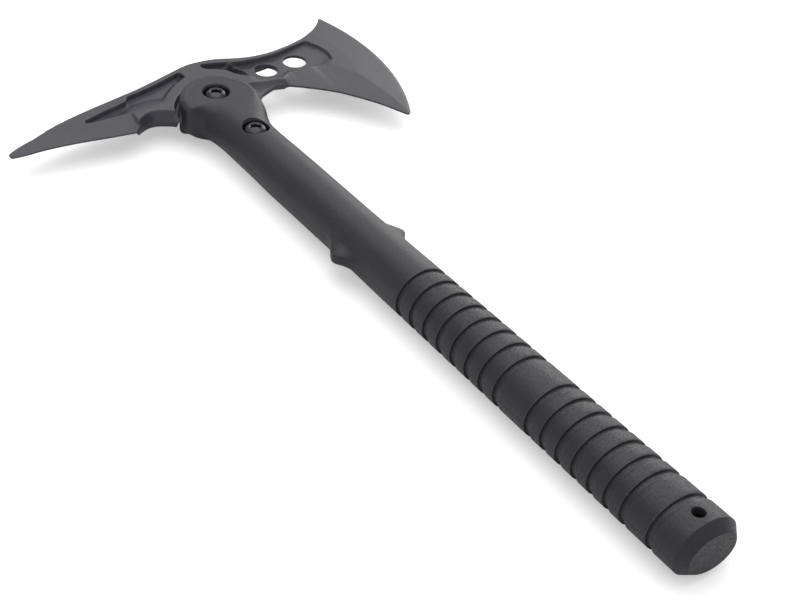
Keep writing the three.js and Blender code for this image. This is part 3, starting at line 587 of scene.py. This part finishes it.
@dataclass
class Handle:
    """Two moulded halves: cheeks round the head bolt, a smooth neck and shaft, two guards and a grooved grip.

    Each cross-section is a superellipse in polar form, r = (|cos t / w|^n + |sin t / d|^n)^(-1/n), with its own half
    width w and power n to the left and right. All sizes are in millimetres. Rows of left, back_left and right are
    height, half width and power; rows of depth are height and depth d. Rows of groove and guard are a place along the
    handle and a depth or a height. Above the cheek's centre the half width is the chord of its circle.
    """

    cheek_centre: Pair = (-0.6, -4.2)
    cheek_radius: float = 18.2
    cheek_power: float = 8.0
    rim_round: float = 1.6
    cheek_fade: float = 1.4
    dish: float = 0.3
    dish_rim: float = 1.9
    dish_fade: float = 2.2
    seam_height: float = 0.22
    seam_depth: float = 0.1
    seam_gap: float = 0.02
    floor: float = 3.15
    skirt: float = 4.4
    skirt_right: float = -11.6
    skirt_left: float = -1.2
    skirt_fade: float = 2.4
    tang_end: float = -54.6
    tang_half: float = 8.2
    core_span: Pair = (-57.6, -312.6)
    core_half: float = 6.3
    core_roof: float = 2.25
    open_half: float = 6.0
    inner_share: float = 0.94
    sharp: float = 34.0
    left: Rows = (
        (-5.6, 18.7, 8), (-7.0, 17.9, 5), (-8.4, 15.6, 3), (-10.5, 13.6, 2.3), (-12, 12.95, 2.1), (-16, 12.4, 2),
        (-20, 12, 2), (-24, 11.75, 2), (-40, 11.75, 2), (-50, 11.95, 2), (-60, 12.35, 2), (-80, 12.4, 2),
        (-100, 12.5, 2), (-112, 12.5, 2), (-151, 13.1, 2), (-330, 15.35, 2), (-334.1, 11.9, 2), (-334.5, 11.4, 2))
    back_left: Rows = (
        (9, 20, 8), (4, 18, 5), (1, 18.4, 3), (-4, 18.5, 2.3), (-6, 18.2, 2.2), (-7.5, 16.8, 2.2), (-9, 14.6, 2.2),
        (-10.5, 13.5, 2.1), (-12, 12.95, 2.1))
    right: Rows = (
        (-5.6, 17.5, 8), (-10, 17, 7), (-15, 16.2, 5.5), (-20, 15.0, 4), (-24, 13.5, 2.9), (-28, 12.6, 2.2),
        (-32, 12.3, 2), (-40, 12.05, 2), (-55, 12.3, 2), (-70, 12.5, 2), (-90, 12.5, 2), (-112, 12.6, 2),
        (-151, 13.1, 2), (-330, 15.35, 2), (-334.1, 11.9, 2), (-334.5, 11.4, 2))
    depth: Points = (
        (-6, 10.4), (-20, 10.3), (-34, 10.7), (-55, 11.1), (-112, 11.2), (-151, 11.85), (-330, 11.95),
        (-334.1, 8.85), (-334.5, 8.4))
    pitch: float = 9.25
    grooves: Sequence[float] = (*range(8), *(9.145 + k for k in range(7)), 16.724)
    groove_first: float = 17.56
    groove: Points = (
        (1.75, 0), (1.58, 0.08), (1.5, 0.3), (1.45, 0.85), (1.3, 1), (-1.2, 1), (-1.42, 0.8), (-1.55, 0.45),
        (-1.95, 0.06), (-2.2, 0))
    guard: Points = (
        (-110, 0), (-113, 0.7), (-116, 2.3), (-119.9, 4.7), (-122.4, 5.7), (-124.0, 5.4), (-126.5, 3.5), (-129, 1.9),
        (-132, 0.9), (-136, 0.2), (-139, 0))
    guard_half: float = 3.6
    guard_fade: float = 3.4
    bolts: Points = ((0, 0), (0, -33.9))
    lanyard: Pair = (0, -324.3)
    bolt_cut: Points = (
        (POLE, -2), (4.5, -2), (4.5, 6.05), (5.85, 6.05), (5.9, 9.0), (6.15, 9.5), (6.6, 10.1), (8.2, 14), (POLE, 14))
    lanyard_cut: Points = (
        (POLE, -2), (4.06, -2), (4.06, 8.76), (2.6, 8.76), (2.6, 11.4), (2.75, 11.7), (3.2, 12.1), (3.6, 14),
        (POLE, 14))
    guard_rows: Pair = (-111, -144)
    ridge_rows: Sequence[float] = (4.6, 3.2, -3.2)
    end_rows: Sequence[float] = (
        -146.5, -149.5, -152.5, -155.5, -329.4, -329.8, -330, -330.2, -333.7, -334.1, -334.3, -334.5)
    columns: int = 96
    cut_columns: int = 64

    def stations(self) -> Array:
        """Heights of the cross-sections from the top of the cheeks to the pommel's end."""
        cy, r = self.cheek_centre[1], self.cheek_radius
        top = cy + r * np.cos(np.linspace(0.03, math.pi / 2, 34))
        shaft = np.arange(cy - 0.8, self.guard_rows[0], -1.1)
        guards = np.arange(*self.guard_rows, -0.6)
        middles = -(np.asarray(self.grooves) + self.groove_first) * self.pitch
        cuts = (middles[:, None] + np.array([g[0] for g in self.groove])[None, :]).ravel()
        between = (middles[:, None] + np.array(self.ridge_rows)[None, :]).ravel()
        return np.unique(np.concatenate([top, shaft, guards, cuts, between, self.end_rows]))[::-1]

    def inset(self, y: Array) -> Array:
        """How deep the grooves cut in at each height, by straight lines between the profile's corners."""
        result = np.zeros_like(y)
        offs = np.array([g[0] for g in self.groove])[::-1]
        deep = np.array([g[1] for g in self.groove])[::-1]
        for k in self.grooves:
            along = y + (k + self.groove_first) * self.pitch
            result = np.maximum(result, np.interp(along, offs, deep, left=0, right=0))
        return result

    def section(self, y: Array, turn: Array, face: Face) -> Array:
        """Points of the outer surface, one row for each height and one column for each angle from +X to -X.

        Args:
            y: Heights of the rows.
            turn: Angles of the columns, from 0 to pi.
            face: Which half: the back one's cheek is rounder at the spike.

        Returns:
            Points of shape (rows, columns, 3).
        """
        cx, cy = self.cheek_centre
        r = self.cheek_radius
        chord = np.sqrt(np.maximum(r**2 - (y - cy) ** 2, 0.01))
        sides = []
        for table, sign in ((self.right, 1), (self.left, -1)):
            width = np.where(y > cy, chord + sign * cx, table_at(table, y))
            squareness = np.where(y > cy, self.cheek_power, table_at(table, y, 2))
            blend = step((cy - y) / self.cheek_fade)
            width = np.where(y <= cy, width * blend + (chord + sign * cx) * (1 - blend), width)
            sides.append((width, squareness))
        if face is Face.BACK:
            part = y > self.back_left[-1][0]
            sides[1] = tuple(np.where(part, np.minimum(values, table_at(self.back_left, y, column)), values)
                             for column, values in enumerate(sides[1], 1))
        deep = table_at(self.depth, y) - self.rim_round * (1 - bulge((cy + r - y) / self.rim_round))
        cut = self.inset(y)
        c, s = np.cos(turn)[None, :], np.sin(turn)[None, :]
        onright = c >= 0
        width = np.where(onright, (sides[0][0] - cut)[:, None], (sides[1][0] - cut)[:, None])
        power = np.where(onright, sides[0][1][:, None], sides[1][1][:, None])
        tall = (deep - cut)[:, None]
        width = np.maximum(width, 0.3)
        radius = ((np.abs(c) / width) ** power + (s / tall) ** power) ** (-1 / power)
        x, z = radius * c, radius * s
        yy = y[:, None] * np.ones_like(x)
        low = np.where(onright, self.low(y, Face.FRONT)[:, None], self.low(y, Face.BACK)[:, None])
        z = low + z * (tall - low) / tall
        g = np.asarray(self.guard)[::-1]
        bump = np.interp(y, g[:, 0], g[:, 1])[:, None]
        x = x + np.sign(c) * bump * (1 - step((z - self.guard_half + 2.2) / self.guard_fade))
        seam = np.where((z < self.seam_height) & (low < 0.1), self.seam_depth * (1 - z / self.seam_height), 0)
        x = x - np.sign(c) * seam
        rim = r - np.hypot(x - cx, yy - cy)
        fade = step((yy + 16) / 9)
        z = z - self.dish * step((rim - self.dish_rim) / self.dish_fade) * fade * step((z - 8) / 1.5)
        return np.stack([x, yy, z], -1)

    def low(self, y: Array, side: Face) -> Array:
        """Height above mid plane of the lower border: over the head near the bolt, at the seam below it.

        Args:
            y: Heights along the handle.
            side: FRONT for the blade's side, where the head reaches lower, BACK for the spike's.
        """
        start = self.skirt_right if side is Face.FRONT else self.skirt_left
        return self.seam_gap + (self.skirt - self.seam_gap) * step((y - start) / self.skirt_fade)

    def half(self, bench: Bench, face: Face, finish: bpy.types.Material) -> bpy.types.Object:
        """Builds one moulded half, with its bolt recesses and lanyard hole cut in.

        Args:
            bench: Makes the piece.
            face: Which half.
            finish: The moulded nylon.

        Returns:
            The half.
        """
        y = self.stations()
        edge = np.array([0, 0.004, 0.01, 0.018, 0.03])
        turn = np.concatenate([edge, np.linspace(0.05, math.pi - 0.05, self.columns), math.pi - edge[::-1]])
        outer = self.section(y, turn, face)
        rows, columns = outer.shape[:2]
        low_right, low_left = self.low(y, Face.FRONT), self.low(y, Face.BACK)
        tang = y > self.tang_end
        core = (y < self.core_span[0]) & (y > self.core_span[1])
        wide = step((y + 15) / 2)
        reach = np.where(tang, self.tang_half, np.where(core, self.core_half, self.open_half))
        roof = np.where(tang, self.floor, np.where(core, self.core_roof, low_left))
        most_right, most_left = self.inner_share * outer[:, 0, 0], -self.inner_share * outer[:, -1, 0]
        right = np.minimum(reach + (most_right - reach) * wide, most_right)
        left = np.minimum(reach + (most_left - reach) * wide, most_left)
        inner = np.stack([np.stack([-left, y, low_left], -1), np.stack([-left * 0.985, y, roof], -1),
                          np.stack([right * 0.985, y, roof], -1), np.stack([right, y, low_right], -1)], 1)
        ring_points = np.concatenate([outer, inner], 1)
        count = ring_points.shape[1]
        faces = grid_faces(rows, count, wrap=True)
        faces.append(tuple(range(count - 1, -1, -1)))
        faces.append(tuple(range((rows - 1) * count, rows * count)))
        points = ring_points.reshape(-1, 3) * np.array([1, 1, face.value])
        if face is Face.BACK:
            faces = [f[::-1] for f in faces]
        name = "handle_half_front" if face is Face.FRONT else "handle_half_back"
        node = "handle_front_half" if face is Face.FRONT else "handle_back_half"
        obj = bench.piece(name, points, faces, node, finish)
        bench.cut(obj, self.cutters(bench, face))
        obj.data.polygons.foreach_set("use_smooth", np.ones(len(obj.data.polygons), bool))
        obj.data.set_sharp_from_angle(angle=math.radians(self.sharp))
        return obj

    def cutters(self, bench: Bench, face: Face) -> list[bpy.types.Object]:
        """Solids that leave the bolt recesses, the bolt bores and the lanyard hole."""
        result = []
        cuts = [(place, self.bolt_cut) for place in self.bolts] + [(self.lanyard, self.lanyard_cut)]
        for k, (place, profile) in enumerate(cuts):
            points, faces = turned(np.array(profile), self.cut_columns)
            points = (points + np.array([*place, 0])) * np.array([1, 1, face.value])
            if face is Face.BACK:
                faces = [f[::-1] for f in faces]
            result.append(bench.mesh(f"cutter_{k}", points, faces))
        return result


@dataclass
class Screws:
    """Two socket screws from the front and their sleeve nuts from the back."""

    top: float = 10.1
    seat: float = 7.0
    columns: int = 96
    sharp: float = 38.0
    places: Sequence[tuple[str, float]] = (("head", 0.0), ("neck", -33.9))

    def face_profile(self) -> list[Pair]:
        """Radius and height of the screw's face, from its rim to the bottom of its socket."""
        t = self.top
        return [(5.0, self.seat), (5.2, 7.15), (5.2, 8.0), (5.1, 8.35), (4.85, 8.8), (4.45, 9.25), (3.95, 9.65),
                (3.4, 9.95), (2.95, t), (2.72, 10.02), (2.6, 9.88), (2.5, 9.6), (2.45, 8.3), (1.5, 7.9),
                (POLE, 7.6)]

    def hexagon(self, first: int) -> Callable[[Array, Array], Array]:
        """Function of ring and angle that makes three rings, from the first one given, a hexagon of flats."""
        def factor(index: Array, turn: Array) -> Array:
            """Share of the radius at each ring and angle: cos 30 over the cosine from the middle of the flat."""
            wedge = np.mod(turn, math.pi / 3) - math.pi / 6
            flats = math.cos(math.pi / 6) / np.cos(wedge)
            return np.where((index >= first) & (index <= first + 2), flats, 1.0)
        return factor

    def build(self, bench: Bench, finish: bpy.types.Material) -> None:
        """Builds both screws and both nuts."""
        face = self.face_profile()
        screw = np.array([(POLE, -5.9), (2.6, -5.9), (2.88, -5.6), (2.88, self.seat - 0.05)] + face)
        nut = np.array([(POLE, -6.1), (2.95, -6.1), (2.95, 5.05), (4.0, 5.05), (4.18, 4.9), (4.18, -self.seat + 0.05)]
                       + [(r, -z) for r, z in face])
        below = face.index((2.5, 9.6)) - len(face)  # the socket's first ring, counted back from the last
        for name, y in self.places:
            for kind, profile in (("screw", screw), ("nut", nut)):
                first = len(profile) + below
                points, faces = turned(profile, self.columns, self.hexagon(first))
                points = points + np.array([0, y, 0])
                if kind == "nut":
                    faces = [f[::-1] for f in faces]
                node = f"{name}_bolt" if kind == "screw" else f"{name}_sleeve_nut"
                obj = bench.piece(f"{name}_{kind}", points, faces, node, finish)
                obj.data.set_sharp_from_angle(angle=math.radians(self.sharp))


# ------------------------------------------------------------------------------------------------ finishes


@dataclass
class Nodes:
    """Adds shader nodes to one material's tree.

    Attributes:
        tree: The material's node tree.
        where: The Object coordinates that every noise is laid on.
    """

    tree: bpy.types.NodeTree
    where: Socket = field(init=False)

    def __post_init__(self) -> None:
        """Adds the coordinates."""
        self.where = self.tree.nodes.new("ShaderNodeTexCoord").outputs["Object"]

    def feed(self, node: bpy.types.Node, values: dict[str | int, Value]) -> None:
        """Links each named input of a node to a socket, or sets it to a constant."""
        for name, value in values.items():
            if isinstance(value, Socket):
                self.tree.links.new(value, node.inputs[name])
            else:
                node.inputs[name].default_value = value

    def sum_up(self, operation: str, *values: Value) -> Socket:
        """Result of a Math node on two or three values."""
        node = self.tree.nodes.new("ShaderNodeMath")
        node.operation = operation
        self.feed(node, dict(enumerate(values)))
        return node.outputs[0]

    def span(self, value: Value, start: float, end: float, low: float = 0.0, high: float = 1.0) -> Socket:
        """Value mapped so that start gives low and end gives high, held at both ends."""
        node = self.tree.nodes.new("ShaderNodeMapRange")
        self.feed(node, {"Value": value, "From Min": start, "From Max": end, "To Min": low, "To Max": high})
        return node.outputs[0]

    def mix(self, factor: Value, a: Value, b: Value) -> Socket:
        """Colour a where the factor is 0 and colour b where it is 1."""
        node = self.tree.nodes.new("ShaderNodeMix")
        node.data_type = "RGBA"
        self.feed(node, {"Factor": factor, "A": a, "B": b})
        return node.outputs["Result"]

    def noise(self, scale: float, detail: float, rough: float) -> Socket:
        """Noise on Object coordinates at a scale in features per metre."""
        node = self.tree.nodes.new("ShaderNodeTexNoise")
        self.feed(node, {"Vector": self.where, "Scale": scale, "Detail": detail, "Roughness": rough})
        return node.outputs[0]

    def bump(self, height: Value, strength: float, distance: float,
             under: Socket | None = None) -> Socket:
        """Normal bent by a height, on top of another bump if one is given; distance in metres."""
        node = self.tree.nodes.new("ShaderNodeBump")
        self.feed(node, {"Height": height, "Strength": strength, "Distance": distance})
        if under is not None:
            self.tree.links.new(under, node.inputs["Normal"])
        return node.outputs[0]


@dataclass(frozen=True)
class Finish:
    """Procedural finish: a base colour clouded by noise, with two scales of bump and a varied roughness.

    Attributes:
        name: Material name.
        dark: Linear colour in the deeper clouds.
        light: Linear colour in the paler clouds.
        rough: Least and most roughness.
        metal: Metallic share.
        grain: Size of the fine bump's features, in millimetres.
        grain_depth: Strength of both bumps.
        cloud: Size of the clouds, in millimetres.
        cloud_share: Weight of the clouds over the specks in the colour and the roughness.
        wear_and_highlight: Strength of the paler colour painted on the edges, partly wear and partly a painted
            highlight; 0 for none.
        wear_and_highlight_colour: Linear colour of the paler edges, for wear and painted highlight alike.
        rough_below: Height along the handle, in metres of the frame, below which the grain is coarse and dull; 0 for
            none.
        rough_fade: Distance over which that skin fades in, in metres.
    """

    name: str
    dark: Triple
    light: Triple
    rough: Pair
    metal: float = 0.0
    grain: float = 0.3
    grain_depth: float = 0.1
    cloud: float = 9.0
    cloud_share: float = 0.6
    wear_and_highlight: float = 0.0
    wear_and_highlight_colour: Triple = (0.16, 0.16, 0.165)
    rough_below: float = 0.0
    rough_fade: float = 0.0008

    def material(self) -> bpy.types.Material:
        """Builds the node tree and returns the material."""
        material = bpy.data.materials.new(self.name)
        material.use_nodes = True
        nodes = Nodes(material.node_tree)
        link = nodes.tree.links.new
        shader = nodes.tree.nodes["Principled BSDF"]
        shader.inputs["Metallic"].default_value = self.metal
        cloud = nodes.noise(1000 / self.cloud, 4, 0.6)
        grain = nodes.noise(1000 / self.grain, 3, 0.55)
        speck = nodes.noise(1000 / (self.grain * 3.2), 2, 0.5)
        specks = nodes.sum_up("MULTIPLY", speck, 1 - self.cloud_share)
        blend = nodes.sum_up("MULTIPLY_ADD", cloud, self.cloud_share, specks)
        base = nodes.mix(nodes.span(blend, 0.36, 0.64), (*self.dark, 1), (*self.light, 1))
        # Convex edges painted paler: partly wear, partly a painted highlight where a grazing light catches them.
        if self.wear_and_highlight:
            base = self.edge_wear_and_highlight(nodes, base, cloud)
        link(base, shader.inputs["Base Color"])
        rough = nodes.span(blend, 0.35, 0.65, *self.rough)
        if self.rough_below:
            rough = self.coarse(nodes, rough)
        link(rough, shader.inputs["Roughness"])
        broad = nodes.bump(speck, self.grain_depth, self.grain * MM * 0.8)
        fine = nodes.bump(grain, self.grain_depth, self.grain * MM * 0.3, broad)
        link(fine, shader.inputs["Normal"])
        return material

    def coarse(self, nodes: Nodes, rough: Socket) -> Socket:
        """Roughness with a duller, speckled skin below a height of the handle, as a textured mould leaves it."""
        axis = nodes.tree.nodes.new("ShaderNodeSeparateXYZ")
        nodes.tree.links.new(nodes.where, axis.inputs[0])
        zone = nodes.span(axis.outputs["Y"], self.rough_below + self.rough_fade, self.rough_below)
        spark = nodes.span(nodes.noise(1900, 2, 0.7), 0.42, 0.62, -0.1, 0.22)
        return nodes.sum_up("ADD", rough, nodes.sum_up("MULTIPLY", zone, spark))

    def edge_wear_and_highlight(self, nodes: Nodes, base: Socket, cloud: Socket) -> Socket:
        """Colour with convex edges painted a little paler, by Geometry's Pointiness: partly the polish that rubbing
        leaves, partly a painted highlight where a grazing light catches them.
        """
        shape = nodes.tree.nodes.new("ShaderNodeNewGeometry")
        edge = nodes.span(shape.outputs["Pointiness"], 0.52, 0.6, 0.0, self.wear_and_highlight)
        return nodes.mix(nodes.sum_up("MULTIPLY", edge, cloud), base, (*self.wear_and_highlight_colour, 1))


# The edge setting of the coating and the nylon paints convex edges paler: partly rubbing wear, partly a painted
# highlight; the bright lips of the grip's grooves are painted highlight.
COATING = Finish("satin_charcoal_coating", (0.0325, 0.0315, 0.0385), (0.048, 0.0465, 0.058), (0.34, 0.46), grain=0.35,
                 grain_depth=0.25, cloud=7, wear_and_highlight=0.5)
NYLON = Finish("black_moulded_nylon", (0.0078, 0.0075, 0.0112), (0.0126, 0.0121, 0.0172), (0.38, 0.47), grain=0.45,
               grain_depth=0.32, cloud=11, wear_and_highlight=0.5, rough_below=-0.0205)
PLATING = Finish("black_nickel_plating", (0.04, 0.04, 0.043), (0.075, 0.075, 0.08), (0.12, 0.2), metal=0.9, grain=0.25,
                 grain_depth=0.06, cloud=3)
ZINC = Finish("zinc_plated_steel", (0.42, 0.42, 0.44), (0.55, 0.55, 0.56), (0.3, 0.42), metal=1.0, cloud=4)
TUBE = Finish("tube_nylon", (0.014, 0.014, 0.015), (0.02, 0.02, 0.021), (0.45, 0.55), cloud=6)


# ------------------------------------------------------------------------------------------------ studio


@dataclass
class Studio:
    """Plain pale floor, even light from all round, three soft lights and the camera."""

    place: Triple = (-0.39015, -0.49415, 0.480)
    yaw: float = -38.68
    pitch: float = 37.41
    roll: float = 5.01
    lens: float = 85.62
    sky: float = 0.68
    glow: float = 0.4
    floor_half: float = 4.0
    lamps: Sequence[tuple[str, Triple, float, float]] = (
        ("back_softbox", (0.55, 0.9, 1.35), 1.5, 6), ("side_softbox", (1.25, 0.75, 0.55), 0.9, 5),
        ("top_softbox", (0.0, 0.15, 1.7), 1.8, 9))

    def floor(self) -> None:
        """Lays the floor, pale to other surfaces and nearly white to the camera, and keeps its shadows."""
        data = bpy.data.meshes.new("floor")
        s = self.floor_half
        data.from_pydata([(-s, -s, 0), (s, -s, 0), (s, s, 0), (-s, s, 0)], [], [(0, 1, 2, 3)])
        obj = bpy.data.objects.new("floor", data)
        show(obj)
        material = bpy.data.materials.new("studio_floor")
        material.use_nodes = True
        tree = material.node_tree
        shader = tree.nodes["Principled BSDF"]
        shader.inputs["Roughness"].default_value = 0.9
        shader.inputs["Specular IOR Level"].default_value = 0.1
        shader.inputs["Base Color"].default_value = (0.86, 0.86, 0.86, 1)
        shader.inputs["Emission Color"].default_value = (1, 1, 1, 1)
        ray = tree.nodes.new("ShaderNodeLightPath")
        glow = tree.nodes.new("ShaderNodeMath")
        glow.operation = "MULTIPLY"
        glow.inputs[1].default_value = self.glow
        tree.links.new(ray.outputs["Is Camera Ray"], glow.inputs[0])
        tree.links.new(glow.outputs[0], shader.inputs["Emission Strength"])
        data.materials.append(material)

    def world(self) -> None:
        """Lights from all round at an even level, and shows white to the camera."""
        world = bpy.data.worlds.new("studio")
        bpy.context.scene.world = world
        world.use_nodes = True
        tree = world.node_tree
        back = tree.nodes["Background"]
        back.inputs["Color"].default_value = (1, 1, 1, 1)
        ray = tree.nodes.new("ShaderNodeLightPath")
        level = tree.nodes.new("ShaderNodeMapRange")
        level.inputs["To Min"].default_value = self.sky
        level.inputs["To Max"].default_value = 1.0
        tree.links.new(ray.outputs["Is Camera Ray"], level.inputs["Value"])
        tree.links.new(level.outputs[0], back.inputs["Strength"])

    def lamp(self, name: str, place: Triple, size: float, power: float) -> None:
        """Hangs a square soft light that faces the frame's origin.

        Args:
            name: Its name.
            place: Where it hangs, in metres.
            size: Its side.
            power: Its power in watts.
        """
        data = bpy.data.lights.new(name, "AREA")
        data.shape = "SQUARE"
        data.size = size
        data.energy = power
        obj = bpy.data.objects.new(name, data)
        obj.matrix_world = Matrix.Translation(place) @ (
            (-Vector(place)).to_track_quat("-Z", "Y").to_matrix().to_4x4())
        show(obj)

    def camera(self) -> None:
        """Sets the camera by yaw, pitch and roll."""
        data = bpy.data.cameras.new("camera")
        data.lens, data.sensor_width = self.lens, 36
        obj = bpy.data.objects.new("camera", data)
        show(obj)
        yaw, pitch, roll = (math.radians(v) for v in (self.yaw, self.pitch, self.roll))
        ahead = Vector((-math.sin(yaw) * math.cos(pitch), math.cos(yaw) * math.cos(pitch), -math.sin(pitch)))
        right = Vector((math.cos(yaw), math.sin(yaw), 0))
        up = right.cross(ahead)
        across = right * math.cos(roll) + up * math.sin(roll)
        rise = up * math.cos(roll) - right * math.sin(roll)
        turn = Matrix((across, rise, -ahead)).transposed().to_4x4()
        turn.translation = Vector(self.place)
        obj.matrix_world = turn
        bpy.context.scene.camera = obj

    def build(self) -> None:
        """Sets up the floor, the world, the lights and the camera."""
        self.floor()
        self.world()
        for lamp in self.lamps:
            self.lamp(*lamp)
        self.camera()
        bpy.context.scene.view_settings.view_transform = "Standard"


def main() -> None:
    """Builds the object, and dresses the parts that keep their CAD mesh."""
    logging.basicConfig(level=logging.INFO, format="%(name)s: %(message)s")
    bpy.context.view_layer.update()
    low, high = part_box("head_bolt")
    bench = Bench(((low[0] + high[0]) / 2, (low[1] + high[1]) / 2, MID_HEIGHT))
    coating, nylon, plating = COATING.material(), NYLON.material(), PLATING.material()
    zinc, tube = ZINC.material(), TUBE.material()
    Head().build(bench, coating)
    handle = Handle()
    for face in Face:
        handle.half(bench, face, nylon)
    Screws().build(bench, plating)
    for name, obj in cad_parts.items():
        plain = zinc if "washer" in name or "dowel" in name else nylon if name == "grip_core" else tube
        obj.data.materials.clear()
        obj.data.materials.append(plain)
    Studio().build()


if __name__ == "__main__":
    main()
